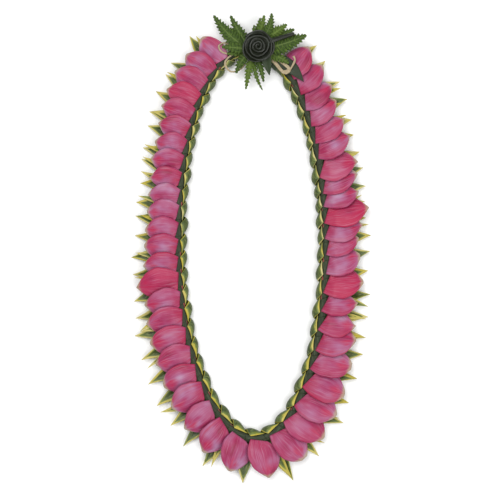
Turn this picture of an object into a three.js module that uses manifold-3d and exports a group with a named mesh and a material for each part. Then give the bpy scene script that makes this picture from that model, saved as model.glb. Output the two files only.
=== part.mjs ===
// Fresh flower lei, lying flat and open: a wound loop of folded leaves and overlapping petals,
// joined at the top under a rolled ti-leaf rose with fern pieces and a raffia tie.
// Millimetres. +Z is up, +Y runs from the middle of the hole to the rose, the lei rests on z = 0.

import * as THREE from 'three';
import Module from 'manifold-3d';

const wasm = await Module();
wasm.setup();

// The loop that the core follows
const LOOP_HALF_WIDTH = 78.2;
const LOOP_LOWER = 200.5;
const LOOP_UPPER = 208;
const LOOP_CENTRE = [0.03, 1.23];
const LOOP_SWAY = 4;
const FULLNESS_UPPER_LEFT = 2.25;
const FULLNESS_UPPER_RIGHT = 2.05;
const FULLNESS_LOWER = 2;

// The braid, wound on the core in turns that start at a seam
const CORE_RADIUS = 3.2;
const CORE_HEIGHT = 6.5;
const BRAID_BORE = 4.3;
const LOBE = [7.7, 5.4];
const LOBE_BULGE = 2.4;
const FACET = [5.65, 5.55];
const LIP = 5.9;
const MOUTH = THREE.MathUtils.degToRad(35);
const FOLD = [0.75, 0.58];
const SKEW = 10;
const SEAM_HALF_GAP = 0.2;
const ARC_HALF_GAP = 0.52;
const TIGHT_BEND = 0.008;
const TIE_CLEARANCE = 1.5;
const ARC_STARTS = [0, 6, 14, 21, 26, 31, 37, 43];

// Where the petals are wound in, as lengths along the loop
const PETALS = 47;
const FIRST_PETAL = 34;
const LAST_PETAL = 890;
const CROWDING = 17;
const LAG = 6;
const PETAL_SHIFT = 0.5;
const SETBACKS = [[1, 0], [36, 0], [38, 3], [40, 8], [41, 8], [42, 5], [43, 6], [45, 3.3], [46, 2.6], [48, 0]];
const SEAM_SHARES = [[1, 0.3], [12, 0.3], [20, 0.1], [48, 0.1]];

// How far the petals reach from the loop, by their number. A few are longer than their neighbours
const PETAL = { thickness: 0.7, width: 29, crown: 17.6, tip: 11.4 };
const STARTS = [[1, -1.4], [24, -1.4], [31, -3], [44, -3.2], [47, -1.8]];
const SLANTS = [[1, 3.6], [16, 3.6], [22, 5.2], [27, 5.4], [31, 8.4], [44, 8.4], [46, 8.2], [47, 6.6]];
const SWINGS = [
  [1, 0.03], [22, 0.05], [24, 0.1], [25, 0], [26, 0.04], [27, -0.08], [29, -0.1], [30, 0.05],
  [31, 0.18], [32, 0.03], [33, 0.12], [34, 0.12], [35, 0.28], [36, 0.24], [37, 0.08], [38, 0.08],
  [39, 0.15], [40, 0.24], [41, 0.04], [42, 0.22], [44, 0.28], [45, 0.18], [46, 0.28], [47, 0.32],
];
const STACKS = [[1, 2.2], [27, 2.2], [31, 2.9], [47, 2.9]];
const FOOT_TRAILS = [[1, 0], [13, 0], [19, 0.5], [25, 2.6], [34, 1.4], [38, 0.9], [48, 0.7]];
const FOOT_LEVELS = [
  [1, 13], [2, 12.7], [14, 12.6], [15, 12.9], [17, 12.6], [24, 12.55], [26, 12.5], [30, 12.7],
  [47, 12.7],
];
const REACHES = [
  [1, 34], [4, 34], [7, 31.5], [12, 32], [16, 37], [22, 39],
  [28, 42.5], [30, 40.5], [32, 35.5], [36, 35], [41, 38.5], [44, 33.5], [47, 36],
];
const LONG_REACHES = { 15: 43, 31: 40, 34: 40, 35: 37, 37: 39, 38: 46 };
const FIRST_CROWN = 13.8;
const LAST_CROWNS = { 45: 16.8, 46: 15.6, 47: 15.9 };
const PETAL_CUP = 0.014;
const LEAF = { thickness: 0.8, width: 16.5, root: 2.2 };
const LEAF_REACHES = [
  [2, 43], [12, 44], [17, 51], [22, 52], [24, 47.5], [26, 52], [33, 49], [38, 43.5], [48, 42],
];
const LEAF_SWINGS = [[2, -0.06], [12, -0.06], [17, 0.18], [30, 0.18], [40, 0.15], [48, 0.08]];
const EXTRA_LEAF_EVERY = 4;

// The ornament, placed from its own middle
const ORNAMENT_CENTRE = [4.83, 213.1];
const ROSE = { x: 1.5, y: -3, radius: 16.4, bottom: 21.6, top: 33.5, turns: 3.2, wall: 1.1 };
const FERN = { bottom: 17.4, layer: 1.05, thickness: 0.7, hub: 5 };
const RAFFIA = { width: 3, thickness: 0.9, level: 15 };

const COLOURS = {
  petal: [0xc0508a, 0.5],
  leaf: [0x3f6b2a, 0.5],
  core: [0xb89a62, 0.85],
  fern: [0x4a8a2c, 0.6],
  tiLeaf: [0x1f2a1e, 0.35],
  raffia: [0xcbb083, 0.8],
};

const { sin, cos, abs, sign, PI, max, min, floor } = Math;

// A repeatable draw between -1 and 1 for piece i, of kind k
function draw(i, k) {
  const x = sin(i * 12.9898 + k * 78.233) * 43758.5453;
  return 2 * (x - floor(x)) - 1;
}

const mix = (a, b, t) => a + (b - a) * t;

// Straight lines between rows of [place, value]
function between(rows, x) {
  let n = 1;
  while (n < rows.length - 1 && x > rows[n][0]) n += 1;
  const [x0, y0] = rows[n - 1];
  const [x1, y1] = rows[n];
  return mix(y0, y1, (x - x0) / (x1 - x0));
}

class LoopCurve extends THREE.Curve {
  // Starts at the top of the loop and runs down its left side
  getPoint(t, target = new THREE.Vector3()) {
    const angle = PI / 2 + 2 * PI * t;
    const c = cos(angle);
    const s = sin(angle);
    const upper = c < 0 ? FULLNESS_UPPER_LEFT : FULLNESS_UPPER_RIGHT;
    const fullness = s > 0 ? upper : FULLNESS_LOWER;
    const x = LOOP_HALF_WIDTH * sign(c) * abs(c) ** (2 / fullness);
    const y = (s > 0 ? LOOP_UPPER : LOOP_LOWER) * sign(s) * abs(s) ** (2 / fullness);
    const sway = s < 0 ? LOOP_SWAY * s * s : 0;
    return target.set(LOOP_CENTRE[0] + x + sway, LOOP_CENTRE[1] + y, 0);
  }
}

const loop = new LoopCurve();
loop.arcLengthDivisions = 2880;
const LOOP_LENGTH = loop.getLength();

// The loop's point at a length along it, its direction there and the way out from the hole
function frameAt(s) {
  const step = 0.5 / LOOP_LENGTH;
  const u = s / LOOP_LENGTH;
  const wrap = (x) => x - floor(x);
  const along = loop.getPointAt(wrap(u + step)).sub(loop.getPointAt(wrap(u - step))).normalize();
  const out = new THREE.Vector3(along.y, -along.x, 0);
  return { point: loop.getPointAt(wrap(u)), along, out };
}

// A point at length s, u outward from the loop and z up
function place(s, u, z) {
  const { point, out } = frameAt(s);
  return point.addScaledVector(out, u).setZ(z);
}

// Petal 1 is the first below the rose on the left, and the count runs down and round
function petalPlace(k) {
  const f = (k - 1) / (PETALS - 1);
  const lag = LAG * max(0, sin(PI * (f - 0.2) / 0.6));
  const shift = k > 1 && k < PETALS ? PETAL_SHIFT * draw(k, 9) : 0;
  return mix(FIRST_PETAL, LAST_PETAL, f) - CROWDING * sin(2 * PI * f) - lag + shift - between(SETBACKS, k);
}

// Turn k of the braid carries petal k. Turn 0 and the turns after the last petal are bare
function makeSeams() {
  const seams = [0];
  for (let k = 1; k <= PETALS + 1; k += 1) {
    seams.push(mix(petalPlace(k - 1), petalPlace(k), between(SEAM_SHARES, k)));
  }
  seams.push((seams[PETALS + 1] + LOOP_LENGTH) / 2, LOOP_LENGTH);
  return seams;
}

const SEAMS = makeSeams();
const TURNS = SEAMS.length - 1;

// How sharply the loop bends at length s
function bendAt(s) {
  return frameAt(s - 5).along.angleTo(frameAt(s + 5).along) / 10;
}

// A closed solid from points and triangles, turned the right way out
function solid(points, triangles) {
  const volume = triangles.reduce((sum, [a, b, c]) => {
    return sum + points[a].dot(new THREE.Vector3().crossVectors(points[b], points[c]));
  }, 0);
  const vertProperties = new Float32Array(points.flatMap((p) => [p.x, p.y, p.z]));
  const turned = volume < 0 ? triangles.map(([a, b, c]) => [a, c, b]) : triangles;
  const triVerts = new Uint32Array(turned.flat());
  return new wasm.Manifold(new wasm.Mesh({ numProp: 3, vertProperties, triVerts }));
}

// A thin blade. at(v, w) is its middle surface, with v along it and w across it from -1 to 1
function blade(vs, ws, thickness, at) {
  const points = [];
  const triangles = [];
  const columns = ws.length;
  const sheet = vs.length * columns;
  const h = 0.02;
  for (const side of [1, -1]) {
    for (const v of vs) {
      for (const w of ws) {
        const dv = at(min(v + h, 1), w).sub(at(max(v - h, 0), w));
        const dw = at(v, w + h).sub(at(v, w - h));
        const normal = dv.cross(dw).normalize();
        points.push(at(v, w).addScaledVector(normal, (side * thickness) / 2));
      }
    }
  }
  const quad = (a, b, c, d) => triangles.push([a, b, c], [a, c, d]);
  for (let r = 0; r + 1 < vs.length; r += 1) {
    for (let c = 0; c + 1 < columns; c += 1) {
      const a = r * columns + c;
      const [b, d, e] = [a + 1, a + columns, a + columns + 1];
      triangles.push([a, b, e], [a, e, d]);
      triangles.push([sheet + a, sheet + e, sheet + b], [sheet + a, sheet + d, sheet + e]);
    }
    const left = r * columns;
    const right = left + columns - 1;
    quad(left, left + columns, sheet + left + columns, sheet + left);
    quad(right, sheet + right, sheet + right + columns, right + columns);
  }
  const last = (vs.length - 1) * columns;
  for (let c = 0; c + 1 < columns; c += 1) {
    quad(c, sheet + c, sheet + c + 1, c + 1);
    quad(last + c, last + c + 1, sheet + last + c + 1, sheet + last + c);
  }
  return solid(points, triangles);
}

// A closed solid through rings of points. Outlines close its two ends, and with none it is a full ring
function loft(rings, outlines) {
  const points = rings.flat();
  const count = rings[0].length;
  const triangles = [];
  const steps = outlines ? rings.length - 1 : rings.length;
  for (let r = 0; r < steps; r += 1) {
    const next = (r + 1) % rings.length;
    for (let c = 0; c < count; c += 1) {
      const d = (c + 1) % count;
      const [p, q] = [r * count + c, r * count + d];
      const [m, n] = [next * count + d, next * count + c];
      triangles.push([p, q, m], [p, m, n]);
    }
  }
  if (outlines) {
    [true, false].forEach((atStart, n) => {
      const base = atStart ? 0 : (rings.length - 1) * count;
      const reversed = THREE.ShapeUtils.isClockWise(outlines[n]) !== atStart;
      for (const [a, b, c] of THREE.ShapeUtils.triangulateShape(outlines[n], [])) {
        triangles.push(reversed ? [base + a, base + c, base + b] : [base + a, base + b, base + c]);
      }
    });
  }
  return solid(points, triangles);
}

const union = (solids) => solids.reduce((all, one) => all.add(one));

// The angle round the core at share p of the way from the lower lip, under it and over, to the upper
const windAngle = (p) => -MOUTH - p * 2 * (PI - MOUTH);

// One cross-section of the braid, from the start (share = 0) to the end (share = 1) of a turn
function braidRing(turn, share, gaps) {
  const s = mix(SEAMS[turn] + gaps[0], SEAMS[turn + 1] - gaps[1], share);
  const fold = mix(...FOLD, share);
  const lobe = mix(...LOBE, share);
  const facet = mix(...FACET, share);
  const bare = turn === 0 || turn > PETALS;
  const floorLevel = bare ? TIE_CLEARANCE : 0;
  const bulge = bare ? 0 : LOBE_BULGE * (1 - share);
  const outer = [
    [0, LIP],
    [0.12, LOBE[0]],
    [0.25, LOBE[0]],
    [0.375, lobe + 0.6 * bulge],
    [0.5, lobe + bulge],
    [(0.5 + fold) / 2, lobe + 0.5 * bulge],
    [fold, lobe],
    [fold + 0.012, facet],
    [(fold + 1) / 2, facet],
    [1, facet],
  ];
  const inner = [1, 0.8, 0.6, 0.4, 0.2, 0].map((p) => [p, BRAID_BORE]);
  const section = [...outer, ...inner].map(([p, r]) => {
    const angle = windAngle(p);
    return [p, r * cos(angle), max(CORE_HEIGHT + r * sin(angle), floorLevel)];
  });
  return {
    ring: section.map(([p, u, z]) => place(s + SKEW * (p - 0.5), u, z)),
    outline: section.map(([, u, z]) => new THREE.Vector2(u, z)),
  };
}

function braid(firstTurn, lastTurn) {
  const sections = [];
  for (let turn = firstTurn; turn <= lastTurn; turn += 1) {
    const before = turn === firstTurn ? ARC_HALF_GAP : SEAM_HALF_GAP;
    const after = turn === lastTurn ? ARC_HALF_GAP : SEAM_HALF_GAP;
    const tight = bendAt((SEAMS[turn] + SEAMS[turn + 1]) / 2) > TIGHT_BEND;
    const shares = tight ? [0, 0.5, 1] : [0, 1];
    sections.push(...shares.map((share) => braidRing(turn, share, [before, after])));
  }
  const ends = [sections[0].outline, sections.at(-1).outline];
  return loft(sections.map(({ ring }) => ring), ends);
}

// A blade that leaves the loop at length s, turned by swing from the way out
function spread(s, swing, shape) {
  const { point, along, out } = frameAt(s);
  const c = cos(swing);
  const n = sin(swing);
  return (v, w) => {
    const { u, t, z } = shape(v, w);
    const [ur, tr] = [u * c - t * n, u * n + t * c];
    return point.clone().addScaledVector(out, ur).addScaledVector(along, tr).setZ(z);
  };
}

const LEAF_OUTLINE = [[0, 0.5], [0.35, 1], [0.62, 0.92], [0.85, 0.45], [1, 0.07]];

// The free end of a folded leaf, from its root under the braid to its tip beyond the petals
function leafTip(k, { length, width, level, swing, rise }) {
  const at = spread(SEAMS[k] + 4, swing, (v, w) => {
    const t = w * (width / 2) * between(LEAF_OUTLINE, v);
    const u = 1 + length * v;
    const clear = min(1, 5 * v);
    const z = LEAF.root + (level - LEAF.root) * clear + rise * v * v + (0.14 * abs(t) - 0.1 * t) * clear;
    return { u, t, z };
  });
  return blade([0, 0.35, 0.62, 0.85, 1], [-1, 0, 1], LEAF.thickness, at);
}

function leavesOfTurn(k, nextToGap) {
  const calm = nextToGap ? 0.2 : 1;
  const reach = between(LEAF_REACHES, k);
  const lean = between(LEAF_SWINGS, k);
  const leaves = [leafTip(k, {
    length: reach + 2.5 * draw(k, 1),
    width: LEAF.width + 2 * draw(k, 2),
    level: LEAF.root,
    swing: lean + 0.1 * calm * draw(k, 3),
    rise: 3 + 2 * draw(k, 4),
  })];
  if (k % EXTRA_LEAF_EVERY === 2) {
    leaves.push(leafTip(k, {
      length: reach - 2 + 3 * draw(k, 5),
      width: LEAF.width * 0.65,
      level: LEAF.root + 2,
      swing: lean - 0.24 * calm,
      rise: 5,
    }));
  }
  return leaves;
}

function leafArc(n) {
  const first = ARC_STARTS[n];
  const last = n + 1 < ARC_STARTS.length ? ARC_STARTS[n + 1] - 1 : TURNS - 1;
  const pieces = [braid(first, last)];
  for (let k = max(first, 2); k <= min(last, PETALS + 1); k += 1) {
    pieces.push(...leavesOfTurn(k, k === first || k === last));
  }
  return union(pieces);
}

const PETAL_OUTLINE = [[0, 0.52], [0.2, 0.85], [0.42, 1], [0.67, 0.86], [0.87, 0.48], [1, 0.08]];

function petal(k) {
  const spacing = petalPlace(k) - petalPlace(k - 1);
  const reach = LONG_REACHES[k] ?? between(REACHES, k) + 1.2 * draw(k, 11);
  const start = between(STARTS, k);
  const length = reach - start;
  const width = PETAL.width + 0.6 * (reach - 36) + 0.5 * (spacing - 18) + 1.2 * draw(k, 12);
  const footLevel = between(FOOT_LEVELS, k);
  const crown = k === 1 ? FIRST_CROWN : LAST_CROWNS[k] ?? PETAL.crown + 0.5 * draw(k, 13);
  const roll = -PETAL_CUP * (width - spacing) - between(STACKS, k) / spacing;
  const trail = between(FOOT_TRAILS, k);
  const swing = between(SWINGS, k) + 0.02 * sin(k * 0.9) + 0.01 * draw(k, 14);
  const at = spread(petalPlace(k), swing, (v, w) => {
    const t = (w * width * between(PETAL_OUTLINE, v)) / 2 - trail * max(0, 1 - 2.4 * v);
    const slant = max(0, 1 - 3.3 * v) * between(SLANTS, k) * (w + 1) / 2;
    const u = start + slant + length * v;
    const bow = crown - (footLevel + PETAL.tip) / 2;
    const ridge = mix(footLevel, PETAL.tip, v) + 4 * bow * v * (1 - v);
    const lean = between([[0, -0.04], [0.25, roll], [0.7, roll], [1, 0.6 * roll]], v);
    return { u, t, z: ridge - PETAL_CUP * min(1, 0.1 + 3 * v) * t * t + lean * t };
  });
  return blade([0, 0.2, 0.42, 0.67, 0.87, 1], [-1, -0.35, 0.35, 1], PETAL.thickness, at);
}

// The cord of raffia that everything is wound on
function coreCord() {
  const steps = 64;
  const sides = 6;
  const rings = [];
  for (let n = 0; n < steps; n += 1) {
    const s = loop.getLengths()[floor((loop.arcLengthDivisions * n) / steps)];
    const ring = [];
    for (let k = 0; k < sides; k += 1) {
      const a = (2 * PI * k) / sides;
      ring.push(place(s, CORE_RADIUS * cos(a), CORE_HEIGHT + CORE_RADIUS * sin(a)));
    }
    rings.push(ring);
  }
  return loft(rings);
}

const ornament = (x, y, z) => new THREE.Vector3(ORNAMENT_CENTRE[0] + x, ORNAMENT_CENTRE[1] + y, z);

// Each fern piece leaves the hub, bends past a point and ends at its tip, on a layer of its own
const HUB = [-4, -5];
const FERN_PIECES = [
  { past: [-27, 3], tip: [-45, 31], width: 19, teeth: 7, layer: 2, droop: 0 },
  { past: [-16, 6], tip: [-27.4, 31], width: 16, teeth: 5, layer: 1, droop: 0 },
  { past: [-20, -3], tip: [-36.5, -2], width: 15, teeth: 4, layer: 3, droop: 0 },
  { past: [-16, -8], tip: [-31, -9], width: 11, teeth: 3, layer: 0, droop: 0 },
  { past: [-17, -14], tip: [-21.5, -29.5], width: 13, teeth: 3, layer: 2, droop: 3 },
  { past: [-8, -24], tip: [-11.4, -46], width: 11, teeth: 5, layer: 1, droop: 5 },
  { past: [-4, -30], tip: [6.4, -46.5], width: 7, teeth: 4, layer: 0, droop: 6 },
  { past: [4, -18], tip: [7.4, -38.5], width: 11, teeth: 4, layer: 2, droop: 4 },
  { past: [-4, 8], tip: [-2.5, 21], width: 8, teeth: 2, layer: 2, droop: 0 },
  { past: [1, 12], tip: [4, 28.6], width: 12, teeth: 3, layer: 0, droop: 0 },
  { past: [5, 14], tip: [8, 31.3], width: 13, teeth: 4, layer: 1, droop: 0 },
  { past: [17, 14], tip: [15.5, 33.2], width: 14, teeth: 4, layer: 3, droop: 0 },
  { past: [18, 12], tip: [31.7, 21.5], width: 14, teeth: 3, layer: 2, droop: 0 },
  { past: [20, 8], tip: [39.7, 16.8], width: 14, teeth: 3, layer: 0, droop: 0 },
  { past: [24, -3], tip: [52.3, 10.2], width: 24, teeth: 6, layer: 3, droop: 0 },
  { past: [20, -8], tip: [33.6, -20.3], width: 20, teeth: 4, layer: 2, droop: 0 },
];

// One toothed blade that falls away on both sides of its rib
function fernPiece({ past, tip, width, teeth, layer, droop }) {
  const [start, middle, end] = [HUB, past, tip].map(([x, y]) => ornament(x, y, 0));
  const rib = new THREE.QuadraticBezierCurve3(start, middle, end);
  const length = rib.getLength();
  const level = FERN.bottom + FERN.layer * layer;
  const bare = 0.3;
  const vs = [0];
  const outline = [[0, 1.2]];
  for (let n = 0; n < teeth; n += 1) {
    const v = bare + ((1 - bare) * (n + 0.5)) / teeth;
    const full = (width / 2) * mix(1, 0.14, ((v - bare) / (1 - bare)) ** 1.6);
    const [valley, point] = [v - 0.3 / teeth, v + 0.1 / teeth];
    vs.push(valley, point);
    outline.push([valley, full * 0.68], [point, full]);
  }
  vs.push(1);
  outline.push([1, 0.5]);
  return blade(vs, [-1, 0, 1], FERN.thickness, (v, w) => {
    const half = between(outline, v);
    const tangent = rib.getTangent(v);
    const side = new THREE.Vector3(-tangent.y, tangent.x, 0);
    const reach = min(1, v + (abs(w) * half * 0.35) / length);
    const z = level - 0.08 * abs(w) * half - droop * v * v;
    return rib.getPoint(reach).addScaledVector(side, w * half).setZ(z);
  });
}

// A closed prism with a rounded outline, from ring to ring up its height
function stack(levels, sides, x, y) {
  const rings = levels.map(([r, z]) => {
    const ring = [];
    for (let k = 0; k < sides; k += 1) {
      const a = (2 * PI * k) / sides;
      ring.push(ornament(x + r * cos(a), y + r * sin(a), z));
    }
    return ring;
  });
  const outline = rings[0].map((p) => new THREE.Vector2(p.x, p.y));
  return loft(rings, [outline, outline]);
}

function fernFronds() {
  const top = FERN.bottom + 3.6 * FERN.layer;
  const hub = stack([[FERN.hub, FERN.bottom - 1.1], [FERN.hub, top]], 8, ...HUB);
  return union([hub, ...FERN_PIECES.map(fernPiece)]);
}

// The rolled leaf: one long wall that winds outward and opens as it rises
function roseWall() {
  const steps = 34;
  const vs = Array.from({ length: steps + 1 }, (_, n) => n / steps);
  return blade(vs, [-1, 1], ROSE.wall, (v, w) => {
    const angle = 2 * PI * ROSE.turns * v + 0.6;
    const up = (w + 1) / 2;
    const z = mix(ROSE.bottom + 1, mix(ROSE.top, ROSE.bottom + 7, v * v), up);
    const spiral = 1.4 + (ROSE.radius - 3.4) * min(1, v / 0.74) + 0.5 * v * cos(2.5 * angle);
    const radius = spiral * (1 + 0.12 * up);
    return ornament(ROSE.x + radius * cos(angle), ROSE.y + radius * sin(angle), z);
  });
}

function roseTip() {
  const outline = [[0, 1], [0.3, 1], [0.7, 0.6], [1, 0.05]];
  return blade([0, 0.3, 0.7, 1], [-1, 0, 1], 0.8, (v, w) => {
    const half = 5.6 * between(outline, v);
    const z = mix(ROSE.bottom + 2.9, ROSE.bottom - 3, v) + 0.2 * half * abs(w);
    return ornament(mix(8, 13.4, v) + w * half, mix(-8, -31.5, v), z);
  });
}

// The leaf's stem, rolled up and sticking out to the upper right
function roseStem() {
  const sides = 7;
  const [start, end] = [[9, 1], [39.3, 11]];
  const direction = new THREE.Vector2(end[0] - start[0], end[1] - start[1]).normalize();
  const round = [];
  for (let k = 0; k < sides; k += 1) {
    const a = (2 * PI * k) / sides;
    round.push(new THREE.Vector2(cos(a), sin(a)));
  }
  const rings = [[0, 2.6], [0.5, 2.3], [1, 1.9]].map(([v, r]) => round.map((corner) => {
    const x = mix(start[0], end[0], v) - direction.y * r * corner.x;
    const y = mix(start[1], end[1], v) + direction.x * r * corner.x;
    return ornament(x, y, ROSE.bottom + 4 - v + r * corner.y);
  }));
  return loft(rings, [round, round]);
}

function rose() {
  const cup = stack([[7, ROSE.bottom], [13.6, ROSE.bottom + 2.4]], 14, ROSE.x, ROSE.y);
  return union([cup, roseWall(), roseTip(), roseStem()]);
}

// A flat strand through points, lying level or turned on edge
function strand(points, steps, width) {
  const curve = new THREE.CatmullRomCurve3(points);
  const vs = Array.from({ length: steps + 1 }, (_, n) => n / steps);
  return blade(vs, [-1, 1], RAFFIA.thickness, (v, w) => {
    const tangent = curve.getTangent(v);
    const side = new THREE.Vector3(-tangent.y, tangent.x, 0).normalize();
    return curve.getPoint(v).addScaledVector(side, (w * width) / 2);
  });
}

// A strand wound once round the bare braid at length s
function tieRing(s) {
  const steps = 16;
  const rings = [];
  for (let n = 0; n < steps; n += 1) {
    const a = (2 * PI * n) / steps;
    const inside = LOBE[0] + 0.6;
    const corner = (u, r) => {
      const lowest = r > inside ? 0.1 : 0.1 + RAFFIA.thickness;
      return place(s + u, r * cos(a), max(CORE_HEIGHT + r * sin(a), lowest));
    };
    const half = RAFFIA.width / 2;
    rings.push([
      corner(-half, inside),
      corner(half, inside),
      corner(half, inside + RAFFIA.thickness),
      corner(-half, inside + RAFFIA.thickness),
    ]);
  }
  return loft(rings);
}

// The loops that the raffia is tied in, as points [x, y, height over the knot's level]
const TIE_PLACE = 14;
const UPPER_LOOP = [[-27, -9, 1], [-36, -7, 1.6], [-39.5, -1, 1.6], [-34, 2.5, 1.2], [-26, -1, 1]];
const LOWER_LOOP = [[-30, -13, 0.2], [-33, -20, -1], [-27, -27, -2], [-18, -25, -2], [-12, -17, -1]];
const BOW = [
  [0, -5, 0.2], [14, -12.5, 1], [27, -27, 2.7],
  [32.5, -27.5, 3.1], [34, -22.5, 3], [18, -8.5, 1.2],
];
const CURL = [[29, -27, 2.5], [34.5, -25.5, 3.3], [38, -20.5, 4], [40, -15.5, 4], [38.5, -11.5, 4]];

function raffiaTie() {
  const z = RAFFIA.level;
  const { x, y } = place(TIE_PLACE, 0, 0).sub(ornament(0, 0, 0));
  const knot = stack([[2.6, z - 0.6], [3, z + 0.6], [2.2, z + 1.4]], 7, x, y);
  const path = (points) => points.map(([px, py, pz]) => ornament(px, py, z + pz));
  const upperLoop = strand(path([[x, y, 0.4], ...UPPER_LOOP, [x, y, 0.6]]), 10, 2.2);
  const lowerLoop = strand(path([[x, y, 0.4], ...LOWER_LOOP, [x, y, 0.5]]), 10, 2.6);
  const bow = strand(path([[x, y, 0.3], ...BOW]), 11, RAFFIA.width);
  const curl = strand(path(CURL), 6, 2);
  return union([tieRing(TIE_PLACE), knot, upperLoop, lowerLoop, bow, curl]);
}

// A dark leaf folded over the bare braid on the right, with a pointed flap over the last petal
const WRAP = { place: LOOP_LENGTH - 32, radius: LOBE[0] + 0.85, thickness: 0.8, from: -2.6, to: -5.4 };
const FLAP_OUTLINE = [[0, 0.9], [0.4, 1], [0.7, 0.6], [1, 0.04]];
const FLAP_LIFT = [[0, 0], [0.22, 0.1], [0.47, 1.8], [0.7, 2.9], [1, 3.3]];

function tiLeafWrap() {
  const band = blade([0, 0.14, 0.28, 0.42, 0.56, 0.7, 0.85, 1], [-1, 1], WRAP.thickness, (v, w) => {
    const a = mix(WRAP.from, WRAP.to, v);
    return place(WRAP.place + 4 * w, WRAP.radius * cos(a), CORE_HEIGHT + WRAP.radius * sin(a));
  });
  const flap = blade([0, 0.22, 0.47, 0.7, 1], [-1, 0, 1], WRAP.thickness, (v, w) => {
    const half = 7 * between(FLAP_OUTLINE, v);
    const u = mix(3, 8.5, v) + w * half;
    const lift = between(FLAP_LIFT, v) + 0.06 * max(0, u - 2) * min(1, 2 * v);
    return place(WRAP.place - 31 * v, u, CORE_HEIGHT + WRAP.radius + lift);
  });
  return union([band, flap]);
}

const lei = new THREE.Group();

function addNode(name, shape, kind) {
  const mesh = shape.getMesh();
  const geometry = new THREE.BufferGeometry();
  geometry.setAttribute('position', new THREE.BufferAttribute(new Float32Array(mesh.vertProperties), 3));
  geometry.setIndex(new THREE.BufferAttribute(new Uint32Array(mesh.triVerts), 1));
  const [color, roughness] = COLOURS[kind];
  const part = new THREE.Mesh(geometry, new THREE.MeshStandardMaterial({ color, roughness, metalness: 0 }));
  part.name = name;
  lei.add(part);
}

addNode('core_cord', coreCord(), 'core');
ARC_STARTS.forEach((_, n) => addNode(`leaf_braid_${n + 1}`, leafArc(n), 'leaf'));
for (let k = 1; k <= PETALS; k += 1) {
  addNode(`petal_${String(k).padStart(2, '0')}`, petal(k), 'petal');
}
addNode('fern_fronds', fernFronds(), 'fern');
addNode('ti_leaf_rose', rose(), 'tiLeaf');
addNode('ti_leaf_wrap', tiLeafWrap(), 'tiLeaf');
addNode('raffia_tie', raffiaTie(), 'raffia');

export default lei;
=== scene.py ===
"""Fresh flower lei, laid out open on a pale table and seen from straight above.

A raffia core is wound with folded leaves that have yellow margins. Each turn of the leaves grips
one pink petal, and the leaves' free ends show beyond the petals. At the top the ends are tied with
raffia under fern pieces and a rose rolled from a dark ti leaf.

The tables and the shapes are in millimetres, in the model's own frame, and piece() turns them to
metres. They follow the solids with finer detail, and differ only where a comment says so.
"""

import math
from bisect import bisect_right
from functools import lru_cache

import bpy
import numpy as np
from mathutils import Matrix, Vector


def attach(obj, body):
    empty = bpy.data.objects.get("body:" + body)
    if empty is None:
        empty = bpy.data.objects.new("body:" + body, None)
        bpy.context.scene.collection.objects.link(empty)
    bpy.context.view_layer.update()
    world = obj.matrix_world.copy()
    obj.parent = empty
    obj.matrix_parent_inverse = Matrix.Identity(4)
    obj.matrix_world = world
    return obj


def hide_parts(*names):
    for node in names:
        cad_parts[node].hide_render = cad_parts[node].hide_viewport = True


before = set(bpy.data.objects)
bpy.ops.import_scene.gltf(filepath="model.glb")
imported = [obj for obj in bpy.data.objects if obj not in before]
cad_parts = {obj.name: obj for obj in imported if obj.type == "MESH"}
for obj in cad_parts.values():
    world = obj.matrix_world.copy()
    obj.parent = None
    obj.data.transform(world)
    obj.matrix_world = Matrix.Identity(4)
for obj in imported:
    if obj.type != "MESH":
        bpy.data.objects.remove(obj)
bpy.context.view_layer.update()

MM = 0.001
TAU = 2 * math.pi

# The loop that the lei follows: an upper and a lower superellipse, the lower one with a sway
LOOP_HALF_WIDTH = 78.2
LOOP_LOWER = 200.5
LOOP_UPPER = 208
LOOP_CENTRE = (0.03, 1.23)
LOOP_SWAY = 4
FULLNESS_UPPER_LEFT = 2.25
FULLNESS_UPPER_RIGHT = 2.05
FULLNESS_LOWER = 2
DIVISIONS = 2880
DIRECTION_STEP = 0.5

# The winding: radii round the middle of the core, and shares of the way round it. LOBE is the
# highest and the lowest radius of a lobe, and FACET how the dark face sinks along its turn. The
# folds lie 0.5 to 1.6 mm further round than the solids'
CORE_HEIGHT = 6.5
LIP = 5.9
UNDERSIDE = 6.4
LOBE = (7.7, 5.4)
LOBE_BULGE = 2.4
FOLD_LIFT = 0.25
FOLD_SWELL = 2.1
FACET = (5.72, 5.4)
FACET_UNDER_FOLD = 0.09
MOUTH = math.radians(35)
FOLD = (0.765, 0.63)
SKEW = 10
START_ROUNDING = 0.26
TIE_CLEARANCE = 1.5
LEAF_SKIN = 0.6
MEAN_RADIUS = 6.5
WAY_ROUND = 2 * (math.pi - MOUTH) * MEAN_RADIUS
STRIPE_WIDTHS = [(0, 0.5), (0.2, 1), (0.55, 1.15), (0.85, 0.7), (1, 0.35)]
ARC_STARTS = [0, 6, 14, 21, 26, 31, 37, 43]

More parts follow.
